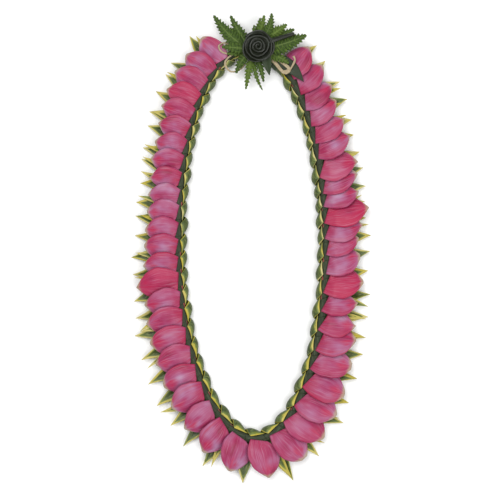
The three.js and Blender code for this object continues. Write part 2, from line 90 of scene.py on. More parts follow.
# The petals: rows of (petal, value), counted from the top, down the left side and up the right.
# Petals 5 to 21 reach up to 2 mm further than the solids'
PETALS = 47
FIRST_PETAL = 34
LAST_PETAL = 890
CROWDING = 17
LAG = 6
LAG_SHARES = (0.2, 0.6)
PETAL_SHIFT = 0.5
SETBACKS = [
    (1, 0), (36, 0), (38, 3), (40, 8), (41, 8), (42, 5), (43, 6), (45, 3.3), (46, 2.6), (48, 0),
]
SEAM_SHARES = [(1, 0.3), (12, 0.3), (20, 0.1), (48, 0.1)]
PETAL = {"width": 29, "crown": 17.6, "tip": 11.4}
PETAL_SKIN = 0.6
PETAL_CUP = 0.014
STARTS = [(1, -1.4), (24, -1.4), (31, -3), (44, -3.2), (47, -1.8)]
SLANTS = [(1, 3.6), (16, 3.6), (22, 5.2), (27, 5.4), (31, 8.4), (44, 8.4), (46, 8.2), (47, 6.6)]
SWINGS = [
    (1, 0.03), (22, 0.05), (24, 0.1), (25, 0), (26, 0.04), (27, -0.08), (29, -0.1), (30, 0.05),
    (31, 0.18), (32, 0.03), (33, 0.12), (34, 0.12), (35, 0.28), (36, 0.24), (37, 0.08), (38, 0.08),
    (39, 0.15), (40, 0.24), (41, 0.04), (42, 0.22), (44, 0.28), (45, 0.18), (46, 0.28), (47, 0.32),
]
STACKS = [(1, 2.2), (27, 2.2), (31, 2.9), (47, 2.9)]
FOOT_TRAILS = [(1, 0), (13, 0), (19, 0.5), (25, 2.6), (34, 1.4), (38, 0.9), (48, 0.7)]
FOOT_LEVELS = [
    (1, 13), (2, 12.7), (14, 12.6), (15, 12.9), (17, 12.6), (24, 12.55), (26, 12.5), (30, 12.7),
    (47, 12.7),
]
REACHES = [
    (1, 34), (4, 34), (7, 32), (12, 33.4), (16, 38.2), (22, 39),
    (28, 42.5), (30, 40.5), (32, 35.5), (36, 35), (41, 38.5), (44, 33.5), (47, 36),
]
LONG_REACHES = {15: 45, 31: 40, 34: 40, 35: 37, 37: 39, 38: 46}
FIRST_CROWN = 13.8
LAST_CROWNS = {45: 16.8, 46: 15.6, 47: 15.9}
POINTED_PETAL = [(0, 0.52), (0.2, 0.84), (0.42, 1), (0.67, 0.84), (0.88, 0.4), (1, 0.04)]
BLUNT_PETAL = [(0, 0.52), (0.2, 0.83), (0.45, 1), (0.8, 0.84), (0.95, 0.52), (1, 0.34)]
PETAL_POINTS = [
    (1, 0.3), (5, 0.55), (9, 0.8), (13, 0.5), (15, 0.85), (18, 0.65), (24, 0.7), (29, 0.45),
    (32, 0.85), (47, 0.9),
]
DEEP_PETALS = {4: 0.75, 15: 0.7, 34: 0.8, 38: 0.85, 41: 0.6}

# The free ends of the folded leaves: rows of (turn, value). They are slimmer near their tips
# than the solids' and begin 0.4 mm further in
LEAF = {"width": 16.5, "root": 2.2}
LEAF_TIP_START = 0.6
LEAF_TIP_SKIN = 0.55
LEAF_REACHES = [
    (2, 43), (12, 44), (17, 51), (22, 52), (24, 47.5), (26, 52), (33, 49), (38, 43.5), (48, 42),
]
LEAF_SWINGS = [(2, -0.06), (12, -0.06), (17, 0.18), (30, 0.18), (40, 0.15), (48, 0.08)]
EXTRA_LEAF_EVERY = 4
LEAF_OUTLINE = [(0, 0.5), (0.35, 1), (0.62, 0.86), (0.84, 0.38), (0.94, 0.15), (1, 0.02)]

# The ornament, placed from its own middle. Each fern piece has the point that it bends past, its
# tip, its width and number of large teeth, its layer and its droop. The rose's roll has two more
# turns than the solid's, two fern pieces are 3 mm wider and the last one is 4 mm narrower
ORNAMENT_CENTRE = (4.83, 213.1)
ROSE = {"x": 1.5, "y": -3, "radius": 16.4, "bottom": 21.6, "top": 33.5, "turns": 5.3}
ROSE_WALL = 1.7
ROSE_CUP = {"lower": 7, "upper": 13.6, "height": 2.4, "points": 40}
ROSE_TIP = ((8, -8), (13.4, -31.5))
ROSE_STEM = ((9, 1), (39.3, 11))
TI_LEAF_SKIN = 0.7
FERN = {"bottom": 17.4, "layer": 1.05}
FERN_SKIN = 0.5
FERN_BARE = 0.3
LOBE_PITCH = 3.6
LOBE_DEPTH = 2.1
LOBE_PEAK = 0.7
HUB = (-4, -5)
FERN_PIECES = [
    ((-27, 3), (-45, 31), 19, 7, 2, 0),
    ((-16, 6), (-27.4, 31), 16, 5, 1, 0),
    ((-20, -3), (-36.5, -2), 15, 4, 3, 0),
    ((-16, -8), (-31, -9), 11, 3, 0, 0),
    ((-17, -14), (-21.5, -29.5), 13, 3, 2, 3),
    ((-8, -24), (-11.4, -46), 11, 5, 1, 5),
    ((-4, -30), (6.4, -46.5), 7, 4, 0, 6),
    ((4, -18), (7.4, -38.5), 11, 4, 2, 4),
    ((-4, 8), (-2.5, 21), 8, 2, 2, 0),
    ((1, 12), (4, 28.6), 12, 3, 0, 0),
    ((5, 14), (8, 31.3), 13, 4, 1, 0),
    ((17, 14), (15.5, 33.2), 14, 4, 3, 0),
    ((18, 12), (31.7, 21.5), 17, 3, 2, 0),
    ((20, 8), (39.7, 16.8), 17, 3, 0, 0),
    ((24, -3), (52.3, 10.2), 24, 6, 3, 0),
    ((20, -8), (33.6, -19.6), 16, 4, 2, 0),
]

# The raffia: its widths, its loops as rows of (x, y, height over the tie) and the knot as rows of
# (radius, height). The bow's return leg lies about 1.5 mm lower than the solid's
RAFFIA = {"level": 15, "ring": 3, "upper": 1.7, "lower": 1.9, "bow": 3.9, "curl": 2}
STRAND_SKIN = 0.6
TIE_PLACE = 14
TIE_GAP = 0.6
UPPER_LOOP = [(-27, -9, 1), (-36, -7, 1.6), (-39.5, -1, 1.6), (-34, 2.5, 1.2), (-26, -1, 1)]
LOWER_LOOP = [(-30, -13, 0.2), (-33, -20, -1), (-27, -27, -2), (-18, -25, -2), (-12, -17, -1)]
BOW = [
    (0, -5, 0.2), (14, -12.5, 1), (26.6, -27, 2.7), (31.8, -27.8, 3.1), (33, -23.4, 3),
    (16.6, -9.8, 1.2),
]
CURL = [(29, -27, 2.5), (34.5, -25.5, 3.3), (38, -20.5, 4), (40, -15.5, 4), (38.5, -11.5, 4)]
KNOT = [(1.6, -0.7), (2.6, -0.5), (3, 0.5), (2.6, 1.1), (1.4, 1.4)]

# The photograph's view, with its width at the level of the petals
PHOTO_WIDTH = 525 * MM
FOCUS_LEVEL = 10 * MM
CAMERA_CENTRE = (-2.07 * MM, -0.9 * MM)
CAMERA_HEIGHT = 1.5
SENSOR_WIDTH = 36

# The table and the soft light, in metres and watts
TABLE_HALF = 3.0
ROOM_LIGHT = 0.42
LAMPS = [
    {"name": "soft_key", "position": (-0.5, 0.6, 1.8), "size": 1.2, "watts": 24},
    {"name": "soft_fill", "position": (0.9, -0.5, 1.6), "size": 1.4, "watts": 19.5},
]


def draw(i, k):
    """A repeatable draw between -1 and 1 for piece i, of kind k."""
    x = math.sin(i * 12.9898 + k * 78.233) * 43758.5453
    return 2 * (x - math.floor(x)) - 1


def mix(a, b, t):
    """The value at share t of the way from a to b."""
    return a + (b - a) * t


def smoothstep(a, b, x):
    """An even rise from 0 at a to 1 at b."""
    t = min(1, max(0, (x - a) / (b - a)))
    return t * t * (3 - 2 * t)


def stretch(rows, x):
    """The number of the row that ends the stretch with x."""
    n = 1
    while n < len(rows) - 1 and x > rows[n][0]:
        n += 1
    return n


def between(rows, x):
    """Straight lines between rows of (place, value)."""
    n = stretch(rows, x)
    (x0, y0), (x1, y1) = rows[n - 1], rows[n]
    return mix(y0, y1, (x - x0) / (x1 - x0))


def flowing(rows, x):
    """A smooth line through rows of (place, value)."""
    n = stretch(rows, x)
    (x0, y0), (x1, y1) = rows[n - 1], rows[n]
    before = rows[n - 2] if n > 1 else rows[0]
    after = rows[n + 1] if n + 1 < len(rows) else rows[-1]
    slope0 = (y1 - before[1]) / (x1 - before[0])
    slope1 = (after[1] - y0) / (after[0] - x0)
    h = x1 - x0
    t = min(1, max(0, (x - x0) / h))
    return (
        (1 + 2 * t) * (1 - t) ** 2 * y0
        + t * (1 - t) ** 2 * h * slope0
        + t * t * (3 - 2 * t) * y1
        + t * t * (t - 1) * h * slope1
    )


def steps(count, start=0.0, end=1.0):
    """The ends of count even steps."""
    return [mix(start, end, n / count) for n in range(count + 1)]


def loop_point(t):
    """The loop's point at share t of a full turn, from the top and down the left side."""
    angle = math.pi / 2 + TAU * t
    c, s = math.cos(angle), math.sin(angle)
    upper = FULLNESS_UPPER_LEFT if c < 0 else FULLNESS_UPPER_RIGHT
    fullness = upper if s > 0 else FULLNESS_LOWER
    x = LOOP_HALF_WIDTH * math.copysign(abs(c) ** (2 / fullness), c)
    y = (LOOP_UPPER if s > 0 else LOOP_LOWER) * math.copysign(abs(s) ** (2 / fullness), s)
    sway = LOOP_SWAY * s * s if s < 0 else 0
    return Vector((LOOP_CENTRE[0] + x + sway, LOOP_CENTRE[1] + y, 0))


def loop_lengths():
    """How far along the loop each division lies."""
    points = [loop_point(n / DIVISIONS) for n in range(DIVISIONS + 1)]
    lengths = [0]
    for a, b in zip(points, points[1:]):
        lengths.append(lengths[-1] + (b - a).length)
    return lengths


LENGTHS = loop_lengths()
LOOP_LENGTH = LENGTHS[-1]


def point_at(share):
    """The loop's point at a share of its length."""
    target = (share - math.floor(share)) * LOOP_LENGTH
    n = min(DIVISIONS - 1, max(0, bisect_right(LENGTHS, target) - 1))
    part = (target - LENGTHS[n]) / (LENGTHS[n + 1] - LENGTHS[n])
    return loop_point((n + part) / DIVISIONS)


@lru_cache(maxsize=None)
def frame_at(s):
    """The loop's point at length s, its direction there and the way out from the hole."""
    step = DIRECTION_STEP / LOOP_LENGTH
    u = s / LOOP_LENGTH
    along = (point_at(u + step) - point_at(u - step)).normalized()
    return point_at(u), along, Vector((along.y, -along.x, 0))


def place(s, u, z):
    """The point at length s along the loop, u out from it and z up."""
    point, _, out = frame_at(round(s, 3))
    return point.x + out.x * u, point.y + out.y * u, z


def petal_place(k):
    """The length along the loop at which petal k leaves the braid."""
    f = (k - 1) / (PETALS - 1)
    lag = LAG * max(0, math.sin(math.pi * (f - LAG_SHARES[0]) / LAG_SHARES[1]))
    shift = PETAL_SHIFT * draw(k, 9) if 1 < k < PETALS else 0
    even = mix(FIRST_PETAL, LAST_PETAL, f) - CROWDING * math.sin(TAU * f)
    return even - lag + shift - between(SETBACKS, k)


def make_seams():
    """The lengths along the loop at which one turn of the winding meets the next."""
    seams = [0]
    for k in range(1, PETALS + 2):
        seams.append(mix(petal_place(k - 1), petal_place(k), between(SEAM_SHARES, k)))
    return seams + [(seams[-1] + LOOP_LENGTH) / 2, LOOP_LENGTH]


SEAMS = make_seams()
TURNS = len(SEAMS) - 1


def spread(s, swing, shape):
    """A blade that leaves the loop at length s, turned by swing from the way out."""
    point, along, out = frame_at(s)
    c, n = math.cos(swing), math.sin(swing)

    def at(v, w):
        u, t, z = shape(v, w)
        ur, tr = u * c - t * n, u * n + t * c
        x, y = point.x + out.x * ur + along.x * tr, point.y + out.y * ur + along.y * tr
        return x, y, z

    return at


class Shape:
    """Points in millimetres and faces of one piece, with a place in the marking and a tone."""

    def __init__(self):
        self.points = []
        self.faces = []
        self.marks = []
        self.tones = []

    def add(self, points, faces, marks, tone):
        """Adds a closed surface, turned so that its faces look outward."""
        base = len(self.points)
        volume = sum(
            Vector(points[f[0]]).dot(Vector(points[a]).cross(Vector(points[b])))
            for f in faces
            for a, b in zip(f[1:], f[2:])
        )
        self.faces += [[base + n for n in (reversed(f) if volume < 0 else f)] for f in faces]
        self.points += points
        self.marks += marks
        self.tones += [tone] * len(points)


def blade(shape, vs, ws, thickness, at, tone, mark=None, rim=0.3):
    """A closed thin blade. at(v, w) is its middle surface, and it thins to rim at its edges."""
    grid = np.array([[at(v, w) for w in ws] for v in vs])
    normal = np.cross(np.gradient(grid, axis=1), np.gradient(grid, axis=0))
    normal /= np.maximum(np.linalg.norm(normal, axis=2, keepdims=True), 1e-9)
    thick = np.full(grid.shape[:2], thickness / 2)
    thick[0], thick[-1] = thick[0] * rim, thick[-1] * rim
    thick[:, 0], thick[:, -1] = thick[:, 0] * rim, thick[:, -1] * rim
    sides = [grid + normal * thick[..., None], grid - normal * thick[..., None]]
    points = [tuple(p) for side in sides for row in side for p in row]
    marks = [mark(v, w) if mark else ((w + 1) / 2, v) for v in vs for w in ws] * 2
    rows, columns = len(vs), len(ws)
    sheet = rows * columns
    faces = []
    for r in range(rows - 1):
        for c in range(columns - 1):
            a = r * columns + c
            faces.append([a, a + 1, a + columns + 1, a + columns])
            faces.append([sheet + a, sheet + a + columns, sheet + a + columns + 1, sheet + a + 1])
        left, right = r * columns, r * columns + columns - 1
        faces.append([left, left + columns, sheet + left + columns, sheet + left])
        faces.append([right, sheet + right, sheet + right + columns, right + columns])
    last = (rows - 1) * columns
    for c in range(columns - 1):
        faces.append([c, sheet + c, sheet + c + 1, c + 1])
        faces.append([last + c, last + c + 1, sheet + last + c + 1, sheet + last + c])
    shape.add(points, faces, marks, tone)


def tube(shape, rings, tone, closed=False, mark_length=1.0):
    """A solid through rings of points, with flat ends unless it is closed on itself."""
    count = len(rings[0])
    points = [tuple(p) for section in rings for p in section]
    faces = []
    for r in range(len(rings) if closed else len(rings) - 1):
        following = (r + 1) % len(rings)
        for c in range(count):
            d = (c + 1) % count
            near, far = r * count, following * count
            faces.append([near + c, near + d, far + d, far + c])
    if not closed:
        last = (len(rings) - 1) * count
        faces += [list(range(count - 1, -1, -1)), list(range(last, last + count))]
    marks = [
        (c / count, mark_length * r / len(rings))
        for r in range(len(rings)) for c in range(count)
    ]
    shape.add(points, faces, marks, tone)


def put_in_scene(name, data):
    """A new object, linked to the scene."""
    made = bpy.data.objects.new(name, data)
    bpy.context.scene.collection.objects.link(made)
    return made


def piece(name, shape, material, slot, *nodes):
    """Makes the Blender object, puts it in the frame and hides the solids that it stands for."""
    mesh = bpy.data.meshes.new(name)
    mesh.from_pydata([(x * MM, y * MM, z * MM) for x, y, z in shape.points], [], shape.faces)
    corners = np.zeros(len(mesh.loops), dtype=np.int32)
    mesh.loops.foreach_get("vertex_index", corners)
    marks = np.array(shape.marks, dtype=np.float32)[corners]
    mesh.uv_layers.new(name="marking").data.foreach_set("uv", marks.ravel())
    tones = mesh.attributes.new("tone", "FLOAT_VECTOR", "POINT")
    tones.data.foreach_set("vector", np.array(shape.tones, dtype=np.float32).ravel())
    mesh.polygons.foreach_set("use_smooth", [True] * len(mesh.polygons))
    mesh.materials.append(material)
    made = put_in_scene(name, mesh)
    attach(made, "root")
    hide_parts(*nodes)


def linear(hex_colour):
    """An sRGB hex value as linear red, green, blue and alpha."""
    parts = [int(hex_colour[n:n + 2], 16) / 255 for n in (1, 3, 5)]
    return [p / 12.92 if p <= 0.04045 else ((p + 0.055) / 1.055) ** 2.4 for p in parts] + [1]


SMOOTH = {"interpolation_type": "SMOOTHSTEP"}
RGBA = {"data_type": "RGBA"}


def add(tree, kind, inputs=(), out=0, stops=(), **settings):
    """Adds a node with its settings and links, and gives back the output called for.

    inputs are values, hex colours or outputs of other nodes, by name or in the order of the
    sockets in use. stops are a ramp's places and hex colours. out may be several names.
    """
    node = tree.nodes.new(kind)
    for name, value in settings.items():
        setattr(node, name, value)
    for where, colour in stops:
        node.color_ramp.elements.new(where).color = linear(colour)
    if stops:
        node.color_ramp.elements.remove(node.color_ramp.elements[-1])
        node.color_ramp.elements.remove(node.color_ramp.elements[0])
    used = [socket for socket in node.inputs if socket.enabled]
    pairs = inputs.items() if isinstance(inputs, dict) else zip(used, inputs)
    for key, value in pairs:
        socket = node.inputs[key] if isinstance(key, str) else key
        if isinstance(value, bpy.types.NodeSocket):
            tree.links.new(value, socket)
        else:
            socket.default_value = linear(value) if isinstance(value, str) else value
    if isinstance(out, tuple):
        return [node.outputs[name] for name in out]
    return [socket for socket in node.outputs if socket.enabled][out]


def new_material(name, **shader):
    """An empty material with its surface shader, and what each point carries with it.

    marking is a place on the piece, tone holds what differs from piece to piece, and spot is
    their sum, which gives each piece a stretch of noise of its own.
    """
    material = bpy.data.materials.new(name)
    material.use_nodes = True
    tree = material.node_tree
    surface = tree.nodes["Principled BSDF"]
    for socket, value in shader.items():
        surface.inputs[socket.replace("_", " ")].default_value = value
    marking = add(tree, "ShaderNodeUVMap", uv_map="marking")
    tone = add(tree, "ShaderNodeAttribute", out=("Vector",), attribute_name="tone")[0]
    spot = add(tree, "ShaderNodeVectorMath", (marking, tone), operation="ADD")
    return material, tree, marking, tone, spot


def dress(material, colour, height, depth_mm):
    """Links the finished colour, and the relief with its full depth, to the surface."""
    tree = material.node_tree
    surface = tree.nodes["Principled BSDF"]
    tree.links.new(colour, surface.inputs["Base Color"])
    relief = {"Height": height, "Distance": depth_mm * MM, "Strength": 0.7}
    tree.links.new(add(tree, "ShaderNodeBump", relief), surface.inputs["Normal"])
    return material


def fresh_petal():
    """Fresh orchid petal: satin flesh with soft veins that hardly shines.

    It runs from lilac pink to crimson at its foot and one edge, and dries pale along its tip.
    """
    material, tree, marking, tone, spot = new_material(
        "fresh_satin_petal", Roughness=0.5, IOR=1.4, Sheen_Weight=0.06, Sheen_Roughness=0.4,
    )
    across, along = add(tree, "ShaderNodeSeparateXYZ", (marking,), out=("X", "Y"))
    deep, mood = add(tree, "ShaderNodeSeparateXYZ", (tone,), out=("X", "Z"))
    # the petal is about 30 mm across, so the streaks lie about 3 mm apart and the veins 0.7 mm
    drawn = add(tree, "ShaderNodeMapping", {"Vector": spot, "Scale": (9, 1.1, 1)})
    streaks = add(tree, "ShaderNodeTexNoise", {"Vector": drawn, "Scale": 1, "Detail": 2})
    fine = add(tree, "ShaderNodeMapping", {"Vector": spot, "Scale": (44, 2.2, 1)})
    veins = add(tree, "ShaderNodeTexNoise", {"Vector": fine, "Scale": 1, "Detail": 2})
    cloud = add(tree, "ShaderNodeTexNoise", {"Vector": spot, "Scale": 1.5, "Detail": 2})

    # lilac, pink and dusty red by streaks and by patches of about 20 mm
    blend = add(tree, "ShaderNodeMath", (streaks, 0.42, -0.36), operation="MULTIPLY_ADD")
    blend = add(tree, "ShaderNodeMath", (cloud, 1.3, blend), operation="MULTIPLY_ADD")
    colour = add(tree, "ShaderNodeValToRGB", (blend,), stops=(
        (0.22, "#861540"), (0.38, "#962A58"), (0.5, "#9B4870"), (0.64, "#A0668A"),
        (0.82, "#AA88A4"),
    ))

    # crimson at the foot and the leading edge, broken by the streaks
    broken = add(tree, "ShaderNodeMapRange", (streaks, 0.28, 0.6), **SMOOTH)
    foot = add(tree, "ShaderNodeMapRange", (along, 0.55, 0.0), **SMOOTH)
    edge = add(tree, "ShaderNodeMapRange", (across, 0.42, 0.02), **SMOOTH)
    red = add(tree, "ShaderNodeMath", (foot, edge), operation="MAXIMUM")
    red = add(tree, "ShaderNodeMath", (red, broken), operation="MULTIPLY")
    share = add(tree, "ShaderNodeMath", (mood, 0.7, 0.36), operation="MULTIPLY_ADD")
    red = add(tree, "ShaderNodeMath", (red, share), operation="MULTIPLY")
    colour = add(tree, "ShaderNodeMix", (red, colour, "#A01340"), **RGBA)

    # a red blush behind the tip
    off_middle = add(tree, "ShaderNodeMath", (across, 0.5), operation="SUBTRACT")
    off_middle = add(tree, "ShaderNodeMath", (off_middle,), operation="ABSOLUTE")
    blush = add(tree, "ShaderNodeMath", (along, 0.78), operation="SUBTRACT")
    blush = add(tree, "ShaderNodeMath", (blush,), operation="ABSOLUTE")
    blush = add(tree, "ShaderNodeMath", (off_middle, 0.8, blush), operation="MULTIPLY_ADD")
    blush = add(tree, "ShaderNodeMapRange", (blush, 0.32, 0.06, 0, 0.9), **SMOOTH)
    blush = add(tree, "ShaderNodeMath", (blush, broken), operation="MULTIPLY")
    colour = add(tree, "ShaderNodeMix", (blush, colour, "#AA1744"), **RGBA)

    # a few petals are deep crimson nearly all over, and all have pale streaks along the veins that
    # are a painted satin highlight
    patchy = add(tree, "ShaderNodeMapRange", (cloud, 0.3, 0.5, 0.35, 1), **SMOOTH)
    deep = add(tree, "ShaderNodeMath", (deep, patchy), operation="MULTIPLY")
    colour = add(tree, "ShaderNodeMix", (deep, colour, "#AA0F40"), **RGBA)
    pale = add(tree, "ShaderNodeMapRange", (veins, 0.5, 0.72, 0, 0.26))
    colour = add(tree, "ShaderNodeMix", (pale, colour, "#C49AB4"), **RGBA)

    # the dried, straw-pale rim of the tip, 1 to 2 mm wide
    rim = add(tree, "ShaderNodeMath", (off_middle, 0.1, along), operation="MULTIPLY_ADD")
    rim = add(tree, "ShaderNodeMath", (veins, 0.12, rim), operation="MULTIPLY_ADD")
    rim = add(tree, "ShaderNodeMapRange", (rim, 0.955, 1.05, 0, 0.8), **SMOOTH)
    colour = add(tree, "ShaderNodeMix", (rim, colour, "#A99C80"), **RGBA)
    height = add(tree, "ShaderNodeMath", (streaks, 1.5, veins), operation="MULTIPLY_ADD")
    return dress(material, colour, height, 0.3)


def margined_leaf():
    """Fresh variegated leaf with its own wax: a low sheen over dark green with paler streaks.

    Its margin is yellow to cream and of uneven width, and fades to green inward.
    """
    material, tree, marking, tone, spot = new_material(
        "variegated_waxy_leaf", Roughness=0.48, IOR=1.42, Coat_Weight=0.08, Coat_Roughness=0.25,
    )
    # the marking holds the distance in from the margin and the place along the leaf, in cm
    inward = add(tree, "ShaderNodeSeparateXYZ", (marking,))
    wide, cream = add(tree, "ShaderNodeSeparateXYZ", (tone,), out=("X", "Y"))
    # streaks run along the leaf, about 0.6 mm apart, and pale patches are about 6 mm across
    drawn = add(tree, "ShaderNodeMapping", {"Vector": spot, "Scale": (16, 1.2, 1)})
    streaks = add(tree, "ShaderNodeTexNoise", {"Vector": drawn, "Scale": 1, "Detail": 3})
    patches = add(tree, "ShaderNodeTexNoise", {"Vector": spot, "Scale": 1.7, "Detail": 2})
    green = add(tree, "ShaderNodeValToRGB", (streaks,), stops=(
        (0.28, "#222F0E"), (0.46, "#38461A"), (0.6, "#56632D"), (0.75, "#868E50"),
    ))
    pale = add(tree, "ShaderNodeMapRange", (patches, 0.52, 0.75, 0, 0.5))
    green = add(tree, "ShaderNodeMix", (pale, green, "#5C7048"), **RGBA)
    wander = add(tree, "ShaderNodeMath", (streaks, 0.5), operation="SUBTRACT")
    inward = add(tree, "ShaderNodeMath", (wander, 0.36, inward), operation="MULTIPLY_ADD")
    inward = add(tree, "ShaderNodeMath", (wide, -0.035, inward), operation="MULTIPLY_ADD")
    band = add(tree, "ShaderNodeMapRange", (inward, 0.26, 0.12, 0, 0.6), **SMOOTH)
    green = add(tree, "ShaderNodeMix", (band, green, "#7C8A38"), **RGBA)
    yellow = add(tree, "ShaderNodeMix", (cream, "#B0A230", "#C6BC80"), **RGBA)
    margin = add(tree, "ShaderNodeMapRange", (inward, 0.13, 0.07), **SMOOTH)
    colour = add(tree, "ShaderNodeMix", (margin, green, yellow), **RGBA)
    return dress(material, colour, streaks, 0.25)


def leaf_face():
    """The folded leaf's upper face: smooth, nearly black-green, some flushed red at the fold."""
    material, tree, marking, tone, spot = new_material(
        "smooth_dark_leaf_face", Roughness=0.62, IOR=1.36, Coat_Weight=0.02, Coat_Roughness=0.2,
    )
    from_fold = add(tree, "ShaderNodeSeparateXYZ", (marking,))
    flushed = add(tree, "ShaderNodeSeparateXYZ", (tone,), out=("Y",))[0]
    # veins about 0.9 mm apart, and a crease about 1.5 mm wide
    drawn = add(tree, "ShaderNodeMapping", {"Vector": spot, "Scale": (11, 0.9, 1)})
    veins = add(tree, "ShaderNodeTexNoise", {"Vector": drawn, "Scale": 1, "Detail": 2})
    colour = add(tree, "ShaderNodeValToRGB", (veins,), stops=(
        (0.3, "#1E2416"), (0.5, "#2A321E"), (0.62, "#363F28"), (0.78, "#4C563C"),
    ))
    crease = add(tree, "ShaderNodeMapRange", (from_fold, 0.17, 0.12), **SMOOTH)
    crease = add(tree, "ShaderNodeMath", (crease, flushed), operation="MULTIPLY")
    colour = add(tree, "ShaderNodeMix", (crease, colour, "#A8524E"), **RGBA)
    return dress(material, colour, veins, 0.3)


def fern_leaf():
    """Leather fern: matt deep green, with painted shade where it folds between its lobes, paler
    along the rib.
    """
    material, tree, marking, tone, spot = new_material(
        "matt_fern_leaf", Roughness=0.68, IOR=1.38,
    )
    # the marking holds the share of the way from rib to edge, and the number of the lobe
    outward, lobe = add(tree, "ShaderNodeSeparateXYZ", (marking,), out=("X", "Y"))
    light = add(tree, "ShaderNodeSeparateXYZ", (tone,))
    # patches of 1 to 3 mm, by a lobe's 3.6 mm pitch
    patches = add(tree, "ShaderNodeTexNoise", {"Vector": spot, "Scale": 3.0, "Detail": 3})
    colour = add(tree, "ShaderNodeValToRGB", (patches,), stops=(
        (0.3, "#22340A"), (0.48, "#334A0E"), (0.62, "#486018"), (0.78, "#6E862C"),
    ))
    colour = add(tree, "ShaderNodeMix", (light, colour, "#5E7424"), **RGBA)
    # a groove between one lobe and the next, darkened with painted shade, and a pale rib
    phase = add(tree, "ShaderNodeMath", (lobe,), operation="FRACT")
    phase = add(tree, "ShaderNodeMath", (phase, 0.5), operation="SUBTRACT")
    phase = add(tree, "ShaderNodeMath", (phase,), operation="ABSOLUTE")
    groove_shade = add(tree, "ShaderNodeMapRange", (phase, 0.3, 0.5), **SMOOTH)
    open_part = add(tree, "ShaderNodeMapRange", (outward, 0.1, 0.55, 0, 0.55))
    groove_shade = add(tree, "ShaderNodeMath", (groove_shade, open_part), operation="MULTIPLY")
    colour = add(tree, "ShaderNodeMix", (groove_shade, colour, "#122206"), **RGBA)
    rib = add(tree, "ShaderNodeMapRange", (outward, 0.08, 0.02, 0, 0.4))
    colour = add(tree, "ShaderNodeMix", (rib, colour, "#7F8F52"), **RGBA)
    height = add(tree, "ShaderNodeMath", (patches, groove_shade), operation="SUBTRACT")
    return dress(material, colour, height, 0.6)


def dark_ti_leaf():
    """Dark ti leaf, rolled by hand: olive black and waxy, with fine veins whose palest streaks are
    a painted bluish-grey highlight.
    """
    material, tree, _, tone, spot = new_material(
        "waxy_dark_ti_leaf", IOR=1.38, Coat_Weight=0.04, Coat_Roughness=0.12,
    )
    light = add(tree, "ShaderNodeSeparateXYZ", (tone,))
    # veins about 0.7 mm apart on a leaf band 12 mm wide
    drawn = add(tree, "ShaderNodeMapping", {"Vector": spot, "Scale": (18, 2.2, 1)})
    veins = add(tree, "ShaderNodeTexNoise", {"Vector": drawn, "Scale": 1, "Detail": 3})
    # the palest, bluish-grey stop is a painted highlight along the veins
    colour = add(tree, "ShaderNodeValToRGB", (veins,), stops=(
        (0.28, "#0F120A"), (0.48, "#181B11"), (0.62, "#252A1F"), (0.78, "#5C655E"),
    ))
    colour = add(tree, "ShaderNodeMix", (light, colour, "#30441F"), **RGBA)
    # the rolled parts are rubbed smooth in the folding, the flat flap and tip stay duller
    rough = add(tree, "ShaderNodeMapRange", (light, 0, 0.3, 0.34, 0.6))
    tree.links.new(rough, tree.nodes["Principled BSDF"].inputs["Roughness"])
    return dress(material, colour, veins, 0.3)


def dried_raffia():
    """Dried raffia palm strand: straw coloured and matt, split into fine fibres along it."""
    material, tree, _, _, spot = new_material(
        "dried_raffia_strand", Roughness=0.7, IOR=1.4,
    )
    # fibres 0.2 to 0.3 mm apart across a strand of 2 to 4 mm
    drawn = add(tree, "ShaderNodeMapping", {"Vector": spot, "Scale": (7, 3, 1)})
    fibres = add(tree, "ShaderNodeTexNoise", {"Vector": drawn, "Scale": 1, "Detail": 4})
    colour = add(tree, "ShaderNodeValToRGB", (fibres,), stops=(
        (0.3, "#75644C"), (0.45, "#9C8A6C"), (0.6, "#B9AA8C"), (0.75, "#CCC2A8"),
    ))
    return dress(material, colour, fibres, 0.3)


def wind_angle(p):
    """The angle round the core at share p of the way from the lower lip to the upper one."""
    return -MOUTH - p * 2 * (math.pi - MOUTH)


def is_bare(turn):
    """Whether a turn carries no petal: the first one, and those under the ornament."""
    return turn == 0 or turn > PETALS


def around(s, angle, radius, lowest=0):
    """A point at an angle round the core and a radius from its middle, no lower than lowest."""
    return place(s, radius * math.cos(angle), max(CORE_HEIGHT + radius * math.sin(angle), lowest))


def wound(turn, a, p, radius):
    """A point of the winding, at share a of a turn and share p round the core."""
    s = mix(SEAMS[turn], SEAMS[turn + 1], a) + SKEW * (p - 0.5)
    return around(s, wind_angle(p), radius, TIE_CLEARANCE if is_bare(turn) else LEAF_SKIN / 2)


def fold_at(a):
    """The share of the way round at which the leaf is folded, at share a of its turn."""
    return mix(FOLD[0], FOLD[1], min(1.05, max(0, a)))


def swell_at(a):
    """How full a lobe is along its turn: drawn in at both ends, fullest a third of the way on."""
    return 0.15 + 0.85 * max(0, math.sin(math.pi * min(1, max(0, a + 0.05)) ** 0.75)) ** 0.8


